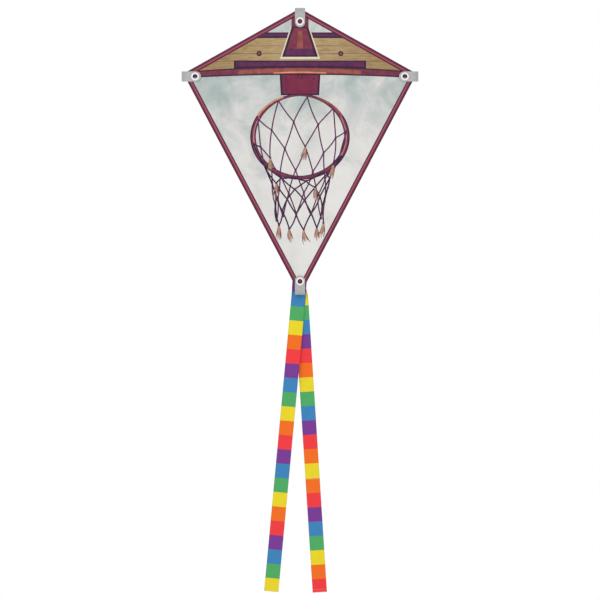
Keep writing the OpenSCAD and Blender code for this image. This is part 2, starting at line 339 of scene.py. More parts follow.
def binding_material():
    """Satin tape: dark at both edges from painted shade, and bright along its raised middle from a painted
    highlight.
    """
    nodes = Nodes("binding_satin", roughness=0.42, Sheen_Weight=0.06, Specular_IOR_Level=0.25)
    uv = nodes.coordinates("UV")
    across = nodes.math("MULTIPLY", nodes.split(uv)[1], 1 / (HEM_W * MM))
    # Painted highlight along the raised middle and painted shade towards both edges, across the tape.
    tape = nodes.ramp(across, [
        (0.00, (84, 24, 46)), (0.22, (96, 28, 50)), (0.42, (116, 42, 66)),
        (0.60, (172, 88, 116)), (0.70, (156, 72, 98)), (0.80, (92, 24, 44)),
        (1.00, (84, 22, 42)),
    ])
    twill = nodes.waves(nodes.mapped(uv, turn_deg=38), "X", 1100)
    folds = nodes.noise(nodes.mapped(uv, (0.25, 3, 1)), 180, 4, 0.6, 0.3)
    # Painted shade and highlight from the folds: darker in their hollows, lighter on their ridges.
    fold_shaded = nodes.shade(tape, folds, 0.74, 1.26)
    height = nodes.math("ADD", twill, nodes.math("MULTIPLY", folds, 2.0))
    return nodes.finished(nodes.shade(fold_shaded, twill, 0.90, 1.07),
                          rough=(folds, 0.34, 0.55), bump=(height, 0.10, 0.6))


WEBBING_RIB_SHADE_FROM = 0.017     # metres along the strip from its eyelet to where the painted rib shade begins


def webbing_material():
    """Grey webbing: worn ribs across the strip, and painted shade of wide ribs towards and past its fold.
    """
    nodes = Nodes("webbing_grey", roughness=0.7, Sheen_Weight=0.15, Specular_IOR_Level=0.3)
    uv = nodes.coordinates("UV")
    ribs, weave = ribbed(nodes, uv, "X", 620)
    wear = nodes.noise(uv, 160, 4)
    grey = nodes.ramp(wear, [(0.3, (172, 173, 173)), (0.7, (194, 195, 195))])
    # Painted shade: dark bands of wide ribs fade in a little past the eyelet and cover the strip round its
    # fold.
    beyond = nodes.math("SUBTRACT", nodes.split(uv)[0], WEBBING_RIB_SHADE_FROM)
    darker = nodes.math("MAXIMUM", nodes.math("MULTIPLY", beyond, 70), 0.0)
    rib_shaded_grey = nodes.shade(grey, nodes.waves(uv, "X", 330), 0.72, 0.96)
    folded = nodes.mix(nodes.math("MINIMUM", darker, 0.6), grey, rib_shaded_grey)
    return nodes.finished(nodes.shade(folded, ribs, 0.90, 1.05),
                          rough=(wear, 0.6, 0.8), bump=(weave, 0.16, 0.8))


def ribbon_material(name, colour):
    """Ribbed nylon ribbon: fine ribs across it and slightly darker selvedges."""
    nodes = Nodes("ribbon_" + name, roughness=0.6, Sheen_Weight=0.02, Specular_IOR_Level=0.12)
    uv = nodes.coordinates("UV")
    ribs, weave = ribbed(nodes, uv, "Y", 700)
    off_middle = nodes.math("ABSOLUTE", nodes.split(uv)[0])
    from_middle = nodes.math("MULTIPLY", off_middle, 2 / (RIBBON_W * MM))
    dark = blend_colour(colour, BLACK, 0.22)
    dye = nodes.ramp(from_middle, [(0.0, colour), (0.90, colour), (0.97, dark)])
    patches = nodes.noise(uv, 60, 4)
    uneven = nodes.shade(dye, patches, 0.97, 1.10)
    return nodes.finished(nodes.shade(uneven, ribs, 0.97, 1.05),
                          rough=(patches, 0.55, 0.7), bump=(weave, 0.10, 0.7))


def thread_material(name, colour):
    nodes = Nodes(name, roughness=0.65, Specular_IOR_Level=0.2)
    twist = nodes.noise(nodes.coordinates("Object"), 2500, 2)
    return nodes.finished(nodes.shade(colour, twist, 0.8, 1.15), bump=(twist, 0.05, 0.5))


def plain_cloth_material(name, colour):
    nodes = Nodes(name, roughness=0.7, Sheen_Weight=0.15, Specular_IOR_Level=0.3)
    uv, weave = plain_weave(nodes)
    darker = blend_colour(colour, BLACK, 0.08)
    tone = nodes.ramp(nodes.noise(uv, 50, 4), [(0.3, darker), (0.7, colour)])
    return nodes.finished(nodes.shade(tone, weave, 0.94, 1.03), bump=(weave, 0.06, 0.6))


# ---- Hard materials ----

def moulded_material(name, colour, roughness, coat=0.0, grain=900, depth=0.03, worn=0.06):
    """Moulded plastic or rubber with a fine grain and faint scuffs."""
    nodes = Nodes(name, roughness=roughness, Coat_Weight=coat, Coat_Roughness=0.12)
    vector = nodes.coordinates("Object")
    scuffs = nodes.noise(vector, 120, 5, 0.65, 0.4)
    fine = nodes.noise(vector, grain, 3)
    light = blend_colour(colour, WHITE, worn)
    return nodes.finished(nodes.ramp(scuffs, [(0.35, colour), (0.70, light)]),
                          rough=(scuffs, roughness - 0.08, roughness + 0.12), bump=(fine, depth, 0.5))


def rod_material(axis):
    """Pultruded fibreglass: glossy resin over fibres that run along the rod's axis."""
    nodes = Nodes("rod_fibreglass_" + axis, roughness=0.28, Coat_Weight=0.5, Coat_Roughness=0.15)
    along = {"x": (12, 1800, 1800), "z": (1800, 1800, 12)}[axis]
    fibres = nodes.noise(nodes.coordinates("Object", along), 1.0, 4)
    grey = nodes.ramp(fibres, [(0.35, (34, 34, 36)), (0.75, (86, 86, 88))])
    return nodes.finished(grey, rough=(fibres, 0.22, 0.4), bump=(fibres, 0.02, 0.5))


def steel_material():
    nodes = Nodes("pin_steel", roughness=0.3, Metallic=1.0)
    scratches = nodes.noise(nodes.coordinates("Object", (1, 1, 8)), 700, 4)
    grey = nodes.ramp(scratches, [(0.3, (150, 150, 152)), (0.7, (202, 202, 204))])
    return nodes.finished(grey, rough=(scratches, 0.22, 0.42), bump=(scratches, 0.01, 0.4))


def floor_material():
    nodes = Nodes("floor_pale", roughness=0.9, Specular_IOR_Level=0.1)
    tone = nodes.noise(nodes.coordinates("Object"), 2, 2)
    return nodes.finished(nodes.ramp(tone, [(0, (0.90, 0.90, 0.90, 1)), (1, (0.92, 0.92, 0.92, 1))]))


RIBBON_COLOURS = {
    "purple": linear(122, 60, 148),
    "blue": linear(62, 132, 186),
    "green": linear(80, 170, 100),
    "yellow": linear(234, 214, 42),
    "orange": linear(243, 112, 34),
    "red": linear(240, 62, 67),
}
RIBBON_W = 35.0


# ---- Mesh building blocks ----

def in_scene(name, data):
    """A new object of the scene that holds data."""
    thing = bpy.data.objects.new(name, data)
    bpy.context.collection.objects.link(thing)
    return thing


def new_object(name, vertices, faces, materials, slots=None):
    mesh = bpy.data.meshes.new(name)
    mesh.from_pydata([mm(*v) for v in vertices], [], faces)
    for material in materials:
        mesh.materials.append(material)
    if slots is not None:
        mesh.polygons.foreach_set("material_index", slots)
    mesh.polygons.foreach_set("use_smooth", [True] * len(mesh.polygons))
    mesh.update()
    return in_scene(name, mesh)


def grid_faces(rows, size, across):
    """Faces between lines of size points. across is size where each line is a closed ring."""
    return [[i * size + j, i * size + (j + 1) % size,
             (i + 1) * size + (j + 1) % size, (i + 1) * size + j]
            for i in range(rows) for j in range(across)]


def set_uv(piece, per_vertex):
    """A UV map in metres from one pair of millimetres for each vertex."""
    layer = piece.data.uv_layers.new(name="cloth")
    for loop in piece.data.loops:
        u, v = per_vertex[loop.vertex_index]
        layer.data[loop.index].uv = (u * MM, v * MM)


def sharpen(piece, edges):
    """Keeps the listed edges sharp under smooth shading."""
    wanted = {tuple(sorted(e)) for e in edges}
    for edge in piece.data.edges:
        if tuple(sorted(edge.vertices)) in wanted:
            edge.use_edge_sharp = True


def arc(cx, cz, r, first, last, step):
    """Points on a circle from the first angle to the last, in whole degrees."""
    stop = last + (1 if step > 0 else -1)
    turns = [math.radians(a) for a in range(first, stop, step)]
    return [(cx + r * math.cos(a), cz + r * math.sin(a)) for a in turns]


@contextlib.contextmanager
def edited(mesh):
    """The mesh opened for editing, and written back at the end."""
    bm = bmesh.new()
    bm.from_mesh(mesh)
    yield bm
    bm.to_mesh(mesh)
    bm.free()


def fix_normals(piece):
    with edited(piece.data) as bm:
        bmesh.ops.recalc_face_normals(bm, faces=bm.faces)


def round_edges(piece, width_mm, segments, sharper_than_deg):
    bevel = piece.modifiers.new("round_edges", "BEVEL")
    bevel.width, bevel.segments = width_mm * MM, segments
    bevel.limit_method, bevel.angle_limit = "ANGLE", math.radians(sharper_than_deg)
    return bevel


def stand_in(piece, slot, body, *nodes):
    """Shows the piece in place of the nodes, riding on their body."""
    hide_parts(*nodes)
    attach(piece, body)


def counter_clockwise(points):
    area = sum(a[0] * b[1] - b[0] * a[1] for a, b in zip(points, points[1:] + points[:1]))
    return points if area > 0 else points[::-1]


def divided(polygon, longest):
    """The polygon with its long edges split, so that cloth can bend along them."""
    found = []
    for a, b in zip(polygon, polygon[1:] + polygon[:1]):
        count = max(1, math.ceil(math.hypot(b[0] - a[0], b[1] - a[1]) / longest))
        found += [(a[0] + (b[0] - a[0]) * i / count, a[1] + (b[1] - a[1]) * i / count)
                  for i in range(count)]
    return found


CDT_INSIDE = 1       # delaunay_2d_cdt keeps only what is inside an outline
MERGE_WITHIN = 1e-4


def arrange(outline, regions, spacing, holes=(), extra=()):
    """Triangles of outline's inside, cut along every region's edges, with extra points added.

    Returns the points, the triangles and each triangle's topmost region, counted from 1, or 0
    outside them all.
    """
    xs, zs = [p[0] for p in outline], [p[1] for p in outline]
    low, high = (min(xs), min(zs)), (max(xs), max(zs))
    points, faces = [], []
    for polygon in [outline, *holes, *regions]:
        polygon = divided(counter_clockwise(list(polygon)), spacing * 0.6)
        faces.append(list(range(len(points), len(points) + len(polygon))))
        points += polygon
    row, z = 0, low[1] + spacing / 2
    while z < high[1]:
        x = low[0] + spacing * (0.25 + 0.5 * (row % 2))
        while x < high[0]:
            points.append((x, z))
            x += spacing
        z += spacing * math.sqrt(3) / 2
        row += 1
    points += extra
    vertices, _, triangles, _, _, owners = delaunay_2d_cdt(
        [Vector(p) for p in points], [], faces, CDT_INSIDE, MERGE_WITHIN, True)
    kept, tops = [], []
    hole_ids = set(range(1, 1 + len(holes)))
    for triangle, owner in zip(triangles, owners):
        a, b, c = (vertices[i] for i in triangle)
        has_area = abs((b - a).cross(c - a)) >= 1e-7
        if has_area and 0 in owner and not hole_ids & set(owner):
            kept.append(triangle)
            tops.append(max(0, max(owner) - len(holes)))
    used = sorted({i for t in kept for i in t})
    place = {old: new for new, old in enumerate(used)}
    return ([tuple(vertices[i]) for i in used],
            [[place[i] for i in t] for t in kept], tops)


def thick_sheet(name, points, triangles, slots, place, thickness, materials, back_shift=0):
    """A closed sheet: a front layer, a back layer and a rim. place(u, v, depth) gives each corner.

    slots has each triangle's material; back_shift is added to it on the back.
    """
    count = len(points)
    vertices = [place(u, v, 0.0) for u, v in points] + [place(u, v, thickness) for u, v in points]
    faces = [list(t) for t in triangles]
    faces += [[i + count for i in reversed(t)] for t in triangles]
    slots = slots + [s + back_shift for s in slots]
    uses = {}
    for index, t in enumerate(triangles):
        for a, b in zip(t, t[1:] + t[:1]):
            uses.setdefault(tuple(sorted((a, b))), []).append((a, b, index))
    sharp = []
    for found in uses.values():
        if len(found) == 1:
            a, b, index = found[0]
            faces.append([b, a, a + count, b + count])
            slots.append(slots[index])
            sharp += [(a, b), (a + count, b + count)]
    piece = new_object(name, vertices, faces, materials, slots)
    set_uv(piece, list(points) * 2)
    sharpen(piece, sharp)
    return piece


def lengths_along(path):
    """The length from the path's start to each of its points."""
    lengths = [0.0]
    for a, b in zip(path, path[1:]):
        lengths.append(lengths[-1] + math.dist(a, b))
    return lengths


def walk(path):
    """(at, total): at(s) gives the point at length s along a path and the direction there."""
    lengths = lengths_along(path)

    def at(s):
        s = max(0.0, min(lengths[-1], s))
        k = max(i for i in range(len(path) - 1) if lengths[i] <= s + 1e-9)
        size = lengths[k + 1] - lengths[k]
        stretch = [q - p for p, q in zip(path[k], path[k + 1])]
        point = [p + d * (s - lengths[k]) / size for p, d in zip(path[k], stretch)]
        return point, [d / size for d in stretch]
    return at, lengths[-1]


def stitch_run(path, out):
    """A run of stitches along a path of points on a surface that faces out."""
    at, total = walk(path)
    return lambda s: (at(s)[0], out), total


STITCH_RINGS, STITCH_SIDES = 4, 6


def add_stitch(bm, start, end, out, radius):
    """One stitch: thick in its middle and sunk into the surface at its ends. Returns its faces."""
    side = (end - start).cross(out).normalized()
    loops = []
    for r in range(STITCH_RINGS + 1):
        share = r / STITCH_RINGS
        swell = math.sin(math.pi * (0.12 + 0.76 * share))
        centre = start.lerp(end, share) + out * radius * (swell - 0.55)
        turns = [2 * math.pi * j / STITCH_SIDES for j in range(STITCH_SIDES)]
        around = [side * math.cos(a) + out * math.sin(a) for a in turns]
        loops.append([bm.verts.new((centre + radius * swell * spoke) * MM) for spoke in around])
    faces = [bm.faces.new(loops[0][::-1]), bm.faces.new(loops[-1])]
    for low, high in zip(loops, loops[1:]):
        for j in range(STITCH_SIDES):
            k = (j + 1) % STITCH_SIDES
            faces.append(bm.faces.new((low[j], low[k], high[k], high[j])))
    return faces


def add_stitches(piece, material, runs, length=2.6, pitch=3.8, radius=0.28):
    """Thread stitches along runs of (at, total) on a piece's surface.

    at(s) gives the point in millimetres at length s of total, and the surface's outward direction.
    """
    mesh = piece.data
    slot = len(mesh.materials)
    mesh.materials.append(material)
    with edited(mesh) as bm:
        new = []
        for at, total in runs:
            for k in range(int(total / pitch)):
                start = k * pitch + (pitch - length) / 2
                (p0, out), (p1, _) = at(start), at(start + length)
                new += add_stitch(bm, Vector(p0), Vector(p1), Vector(out), radius)
        for face in new:
            face.material_index = slot
            face.smooth = True
        bmesh.ops.recalc_face_normals(bm, faces=new)


def plain_sheet(name, outline, spacing, place, thickness, material, holes=()):
    """A sheet cut from one outline in one material."""
    points, triangles, tops = arrange(outline, [], spacing, holes)
    return thick_sheet(name, points, triangles, tops, place, thickness, [material])


# ---- The sail's shape ----

BILLOW = 1.1
CLOTH_T = 0.3
RAYS = 16            # tension ripples in a full turn round each wing corner
RAY_FADE = 170.0     # how far from the corner they have died down to about a third


def edge_distance(x, z):
    """How far a point of the sail is inside its nearest edge."""
    return min((upper_z(x) - z) / UPPER_STRETCH, (z - lower_z(x)) / LOWER_STRETCH)


def ease(t):
    t = max(0.0, min(1.0, t))
    return t * t * (3 - 2 * t)


def billow(x, z):
    """Tension ripples between the spine and the edges, in millimetres forwards."""
    hold = ease(abs(x) / 60) * ease((edge_distance(x, z) - HEM_W) / 30)
    if hold == 0:
        return 0.0
    from_corner = math.hypot(abs(x) - HALF_SPAN, z - CORNER_Z)
    angle = math.atan2(z - CORNER_Z, HALF_SPAN - abs(x))
    rays = math.sin(angle * RAYS + math.copysign(0.4, x)) * math.exp(-from_corner / RAY_FADE)
    slow = noise.noise(Vector((x * 0.011, z * 0.009, 3.7)))
    return hold * (BILLOW * 0.75 * rays + BILLOW * 1.3 * slow)


def sail_place(x, z, depth):
    return (x, SAIL_Y - CLOTH_T / 2 + depth - billow(x, z), z)


# ---- The print: a plain hoop and net under a board, worked out by formula ----

def ellipse(cx, cz, rx, rz, count=48):
    return [(cx + rx * math.cos(2 * math.pi * i / count), cz + rz * math.sin(2 * math.pi * i / count))
            for i in range(count)]


def rectangle(x0, z0, x1, z1):
    return [(x0, z0), (x1, z0), (x1, z1), (x0, z1)]


def trapezoid(z0, half0, z1, half1):
    """Symmetric about the spine: half0 wide each side at z0, half1 at z1."""
    return [(-half0, z0), (half0, z0), (half1, z1), (-half1, z1)]


def curve(a, b, c, count=6):
    """A quadratic curve from a to c, drawn towards b."""
    shares = [i / count for i in range(count + 1)]
    return [tuple((1 - t) ** 2 * p + 2 * t * (1 - t) * q + t * t * r for p, q, r in zip(a, b, c))
            for t in shares]


def ribbon(points, width, end_width=None):
    """The outline of a line of the given width along the points."""
    end_width = width if end_width is None else end_width
    left, right = [], []
    for i, (x, z) in enumerate(points):
        ax, az = points[max(0, i - 1)]
        bx, bz = points[min(len(points) - 1, i + 1)]
        size = math.hypot(bx - ax, bz - az) or 1.0
        nx, nz = -(bz - az) / size, (bx - ax) / size
        half = (width + (end_width - width) * i / max(1, len(points) - 1)) / 2
        left.append((x + nx * half, z + nz * half))
        right.append((x - nx * half, z - nz * half))
    return left + right[::-1]


def arch_band(half, low_end, low_middle, high_end, high_middle, count=24):
    """A band across the spine between two shallow arches."""
    def edge(z_end, z_middle):
        shares = [2 * i / count - 1 for i in range(count + 1)]
        return [(half * s, z_middle + (z_end - z_middle) * s * s) for s in shares]
    return edge(low_end, low_middle) + edge(high_end, high_middle)[::-1]


BOARD_HIGH = 94.0
PLANK_H = 19.0
RAIL_TOP = 108.0


def draw_board():
    """A planked board with a rail along its top."""
    yield "wood", arch_band(HALF_SPAN, 6, 14, BOARD_HIGH, BOARD_HIGH)
    for k in range(1, 4):
        seam = BOARD_HIGH - PLANK_H * k
        yield "umber", rectangle(-HALF_SPAN, seam - 0.5, HALF_SPAN, seam + 0.5)
    yield "ink", rectangle(-HALF_SPAN, BOARD_HIGH, HALF_SPAN, RAIL_TOP)
    yield "plum", rectangle(-HALF_SPAN, BOARD_HIGH + 4, HALF_SPAN, RAIL_TOP - 3)


def draw_bracket():
    """A tapered bracket on the board's middle, and a bolt on the board at each side of it."""
    yield "cream", trapezoid(43, 49, 122, 23)
    yield "maroon", rectangle(-21, 112, 21, NOSE_Z)
    yield "ink", trapezoid(48, 44, 122, 20)
    yield "maroon", trapezoid(52, 37, 119, 16)
    yield "plum", trapezoid(52, 37, 68, 32)
    yield "rust", trapezoid(68, 8, 112, 5)
    for x in (-100, 100):
        yield "ink", ellipse(x, 56, 7, 7, count=6)
        yield "rust", ellipse(x, 56, 3, 3, count=12)


LIP_HALF = 270.0     # the lip runs out under the side tabs


def draw_beam():
    """The beam under the bracket, a curved lip below it and the plate that carries the ring."""
    yield "ink", arch_band(162, 14, 19, 39, 39)
    yield "plum", arch_band(157, 24, 26, 36, 36)
    yield "ink", arch_band(LIP_HALF, -3.5, 4, 12.5, 24)
    yield "maroon", arch_band(LIP_HALF, 0.5, 6.5, 9.5, 21.5)
    yield "rust", ribbon(curve((-150, 10), (0, 20), (150, 10), 24), 9.5)
    yield "glow", arch_band(65, 7.0, 8.5, 9.5, 12.0)
    yield "ink", trapezoid(-46, 47, 6, 50)
    yield "crimson", trapezoid(-42, 42, 3, 45)
    for x in (-34, 34):
        for z in (-33, -6):
            yield "plum", ellipse(x, z, 3.4, 3.4, count=12)


RING_Z, RING_RX, RING_RZ = -148.0, 122.0, 105.0


def ring_tube(angle):
    """The ring's drawn thickness: heavy at the sides and below, thin at the top."""
    side = abs(math.cos(angle))
    under = max(0.0, -math.sin(angle))
    return 4.5 + 7.5 * side ** 1.5 + 4.0 * under ** 2


def ring_bands(first, last, outer, inner):
    """Short closed bands round the ring, so that its middle stays open.

    first and last are in degrees; outer and inner are shares of its thickness.
    """
    count = max(1, round((last - first) / 30))
    step = math.radians((last - first) / count)
    for k in range(count):
        turns = [math.radians(first) + step * (k + i / 6) for i in range(7)]
        rims = [[((RING_RX - share * ring_tube(a)) * math.cos(a),
                  RING_Z + (RING_RZ - share * ring_tube(a)) * math.sin(a)) for a in turns]
                for share in (outer, inner)]
        yield rims[0] + rims[1][::-1]


def draw_ring():
    """The ring's dark outline, its tube, and lights on its sides and shoulders."""
    for paint, first, last, outer, inner in (
        ("ink", 0, 360, 0.0, 1.15), ("maroon", 0, 360, 0.28, 0.95),
        ("rose", 150, 210, 0.60, 0.80), ("rose", -30, 30, 0.60, 0.80),
        ("glow", 110, 150, 0.05, 0.45), ("rust", 30, 70, 0.05, 0.45),
    ):
        for band in ring_bands(first, last, outer, inner):
            yield paint, band


NET_CORDS = 10       # cords tied to the ring
NET_ROWS = 5         # rows of meshes below it
NET_DROP = 208.0     # ring's centre to the centre of the lowest row
NET_WAIST = 0.50     # the lowest row's width as a share of the ring's
CORD_W = 3.6


def net_knot(turn, row):
    """Where a knot hangs: turn counts round the ring, row counts down from it."""
    share = row / NET_ROWS
    angle = 2 * math.pi * (turn + 0.5 * (row % 2) + 0.25) / NET_CORDS
    narrow = 1 - (1 - NET_WAIST) * math.sin(share * math.pi / 2)
    x = (RING_RX - 6) * narrow * math.cos(angle)
    z = RING_Z - NET_DROP * share ** 1.1 + (RING_RZ - 6) * narrow * (1 - 0.6 * share) * math.sin(angle)
    return (x, z), math.sin(angle) > 0


def net_cords():
    """(start, end, at the back) for each side of each mesh."""
    for row in range(NET_ROWS):
        for turn in range(NET_CORDS):
            start, behind = net_knot(turn, row)
            for step in ((-1, 0) if row % 2 == 0 else (0, 1)):
                end, _ = net_knot((turn + step) % NET_CORDS, row + 1)
                yield start, end, behind


def draw_net():
    """The far half of the net, then the near half, then knots and frayed ends."""
    rng = random.Random(7)
    cords = sorted(net_cords(), key=lambda cord: not cord[2])
    for (ax, az), (bx, bz), behind in cords:
        sag = ((ax + bx) / 2 + rng.uniform(-5, 5), (az + bz) / 2 - rng.uniform(1, 5))
        yield ("plum" if behind else "ink"), ribbon(
            curve((ax, az), sag, (bx, bz)), CORD_W * (0.9 if behind else 1.0))
    for row in range(1, NET_ROWS + 1):
        for turn in range(NET_CORDS):
            (x, z), behind = net_knot(turn, row)
            yield "plum", ellipse(x, z, 3.0, 3.4, count=10)
            if row == NET_ROWS and not behind or row == 2 and turn % 2 == 0:
                yield from draw_fray(rng, x, z)


def draw_fray(rng, x, z):
    """A frayed cord's end: strands that hang together in a tuft and part at their tips."""
    sway = rng.uniform(-0.25, 0.25)
    for k, paint in enumerate(("umber", "hemp", "umber", "hemp", "umber", "hemp", "hemp")):
        spread = (k * 3 % 7 - 3) / 3
        lean = sway + 0.22 * spread + rng.uniform(-0.05, 0.05)
        reach = rng.uniform(25, 36)
        tip = (x + reach * math.sin(lean), z - reach * math.cos(lean))
        bend = (x + 5.5 * spread, z - reach * 0.5)
        yield paint, ribbon(curve((x, z - 2), bend, tip, 4), 4.2, 1.2)


def draw_tip():
    """Plain colour behind the bottom eyelet."""
    yield "maroon", rectangle(-TAB_W / 2, TIP_CUT, TAB_W / 2, BOTTOM_EYELET_Z + TAB_W / 2 - 2)


def print_regions():
    """(paint, outline) for everything printed over the sky, lowest first."""
    return [region for part in (draw_board, draw_bracket, draw_beam, draw_ring, draw_net, draw_tip)
            for region in part()]


# ---- Sail, hems and stitches ----

FRONT_PRINTS = [printed("print_" + n, False, PRINT_PAINTS[n]) for n in PRINT_ORDER]
BACK_PRINTS = [printed("print_back_" + n, True, PRINT_PAINTS[n]) for n in PRINT_ORDER]
BINDING = binding_material()
WEBBING = webbing_material()
BINDING_THREAD = thread_material("thread_maroon", linear(96, 34, 56))
GREY_THREAD = thread_material("thread_grey", linear(206, 206, 206))
WHITE_THREAD = thread_material("thread_white", linear(225, 225, 222))

SAIL_INSET = 1.0
SAIL_SPACING = 6.0
HINGE_ZONE = 8.0     # extra points are added this far each side of a hinge
FOLD_ROW = 5         # rows of extra points near a hinge, this far apart
NOTCH_R = 3.9


def across_hinge(piece, side):
    """Bakes the piece's placement into its mesh; the ends of the hinge zone it works out are not used."""
    start, end = (mm(side * x, SAIL_Y, 0) for x in (HINGE_X - HINGE_ZONE, HINGE_X + HINGE_ZONE))
    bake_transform(piece)
    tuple(start)
    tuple(end)


def make_sail(side, word, regions):
    """Half of the sail, with the print cut into it and a notch for the centre fitting."""
    notch = [(side * x, z) for x, z in arc(0, 0, NOTCH_R, 90, -90, -15)]
    far_x = side * corner_x(SAIL_INSET)
    outline = [(0, TIP_CUT), (side * (TIP_CUT - lower_z(0, SAIL_INSET)) / LOWER_SLOPE, TIP_CUT),
               (far_x, lower_z(far_x, SAIL_INSET)),
               (side * (upper_z(0, SAIL_INSET) - NOSE_CUT) / UPPER_SLOPE, NOSE_CUT), (0, NOSE_CUT)]
    outline += notch
    columns = [side * (HINGE_X + HINGE_ZONE * i / 4) for i in range(-4, 5)]
    rows = range(round(TIP_Z), round(NOSE_Z), FOLD_ROW)
    bending = [(x, z) for x in columns for z in rows if edge_distance(x, z) > 3]
    points, triangles, tops = arrange(outline, [shape for _, shape in regions], SAIL_SPACING,
                                      extra=bending)
    slots = [0 if top == 0 else PRINT_ORDER.index(regions[top - 1][0]) for top in tops]
    piece = thick_sheet("sail_" + word, points, triangles, slots, sail_place, CLOTH_T,
                        FRONT_PRINTS + BACK_PRINTS, back_shift=len(PRINT_ORDER))
    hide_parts(word + "_sail", "sail_center")
    across_hinge(piece, side)
    return piece


def declare_sail(sewn_on):
    """Works out half the kite's span and its height in metres, and keeps neither. sewn_on, what is sewn
    and pressed on the sail, is not used.
    """
    mm(HALF_SPAN, NOSE_Z - TIP_Z)


HEM_PROFILE = [
    # share of the way from the outer to the inner edge, height over the sail's middle
    (0.00, 0.00), (0.015, 0.42), (0.05, 0.70), (0.14, 0.86), (0.30, 1.02), (0.45, 1.30),
    (0.58, 1.48), (0.68, 1.34), (0.755, 0.92), (0.80, 0.66), (0.845, 0.72), (0.93, 0.66),
    (0.985, 0.42), (1.00, 0.18),
]
HEM_STEP = 2.0
HEM_BACK = 0.8       # the binding's back is a little flatter than its front
HEM_PRESSED = 0.78   # its greatest height where a tab presses it
HEM_UNSTITCHED = 24.0     # no stitches in this last stretch, under the side tab
STITCH_SHARE = 0.80
STITCH_HEIGHT = 0.66
STITCH_PITCH = 3.8


def near_tab(x, z):
    """1 under a corner tab's leaves, falling to 0 a little way outside them."""
    gaps = []
    for outwards, across in ((abs(x) - EYELET_X, z), (z - TOP_EYELET_Z, x), (BOTTOM_EYELET_Z - z, x)):
        gaps.append(max(abs(across) - TAB_W / 2, -TAB_TAIL - outwards, 0))
    return 1 - ease(min(gaps) / 8)


def hem_point(side, upper, along, share):
    """A point of the binding's middle plane: along runs from the spine to the wing corner."""
    inset = share * HEM_W
    x = along * corner_x(inset)
    z = upper_z(x, inset) if upper else lower_z(x, inset)
    return side * x, max(TIP_CUT, min(NOSE_CUT, z))


def hem_height(x, z, share, height, distance):
    """height with lumps, a pucker at each stitch, and pressed flat under the tabs."""
    pressed = near_tab(x, z)
    pucker = 0.16 * math.cos(2 * math.pi * distance / STITCH_PITCH)
    pucker *= math.exp(-((share - STITCH_SHARE) / 0.16) ** 2)
    lumps = 0.20 * noise.noise(Vector((distance * 0.12, share * 2.0, x * 0.002)))
    puffy = height * (1 + lumps) + pucker * height
    return puffy + (min(height, HEM_PRESSED) - puffy) * pressed


def make_hem(side, word, upper):
    """Folded tape round one edge, from the spine to a wing corner, stitched on both faces."""
    length = corner_x() * (UPPER_STRETCH if upper else LOWER_STRETCH)
    columns = round(length / HEM_STEP)
    loop = [(s, h, -1) for s, h in HEM_PROFILE] + [(s, h, 1) for s, h in HEM_PROFILE[-1:0:-1]]
    vertices, uvs = [], []
    for i in range(columns + 1):
        along = i / columns
        for share, height, face in loop:
            x, z = hem_point(side, upper, along, share)
            h = hem_height(x, z, share, height, along * length)
            vertices.append((x, SAIL_Y + (-h if face < 0 else HEM_BACK * h), z))
            uvs.append((along * length, share * HEM_W))
    size = len(loop)
    faces = grid_faces(columns, size, size)
    faces += [list(range(size))[::-1], [columns * size + j for j in range(size)]]
    if (side > 0) != upper:
        faces = [f[::-1] for f in faces]
    which, end = ("upper", "nose") if upper else ("lower", "tip")
    piece = new_object(f"binding_{which}_{word}", vertices, faces, [BINDING])
    set_uv(piece, uvs)
    fix_normals(piece)

    def stitch_line(face):
        def at(s):
            x, z = hem_point(side, upper, min(1.0, s / length), STITCH_SHARE)
            out = -STITCH_HEIGHT if face < 0 else HEM_BACK * STITCH_HEIGHT
            return (x, SAIL_Y + out, z), (0, face, 0)
        return at, length - HEM_UNSTITCHED

    add_stitches(piece, BINDING_THREAD, [stitch_line(-1), stitch_line(1)], pitch=STITCH_PITCH)
    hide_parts(f"{word}_{which}_hem", end + "_hem")
    across_hinge(piece, side)
    return piece


# ---- Corner tabs ----

LEAF_T = 1.0
FOLD_R = (LEAF_BACK - LEAF_FRONT) / 2
FLAT_RUN = TAB_REACH - FOLD_R
FOLD_RUN = math.pi * (FOLD_R - LEAF_T / 2)


def tab_place(u, v, depth):
    """A point of the unfolded strip on the folded tab: x outwards, z across, depth inwards.

    u runs from the eyelet along the front leaf, round the fold and back along the back leaf.
    """
    if u <= FLAT_RUN:
        return (u, LEAF_FRONT + depth, v)
    if u >= FLAT_RUN + FOLD_RUN:
        return (2 * FLAT_RUN + FOLD_RUN - u, LEAF_BACK - depth, v)
    angle = math.pi * (u - FLAT_RUN) / FOLD_RUN
    r = FOLD_R - depth
    return (FLAT_RUN + r * math.sin(angle), LEAF_FRONT + FOLD_R - r * math.cos(angle), v)


TAB_TURNS = {
    # which way a tab's fold points: how its x and z become the kite's
    "right": lambda x, z: (EYELET_X + x, z),
    "left": lambda x, z: (-EYELET_X - x, -z),
    "top": lambda x, z: (-z, TOP_EYELET_Z + x),
    "bottom": lambda x, z: (z, BOTTOM_EYELET_Z - x),
}

TAB_HOLE_R = 7.1     # clears the eyelet's shank
SEAM_MARGIN = 2.2    # from the edge of the webbing to its stitches


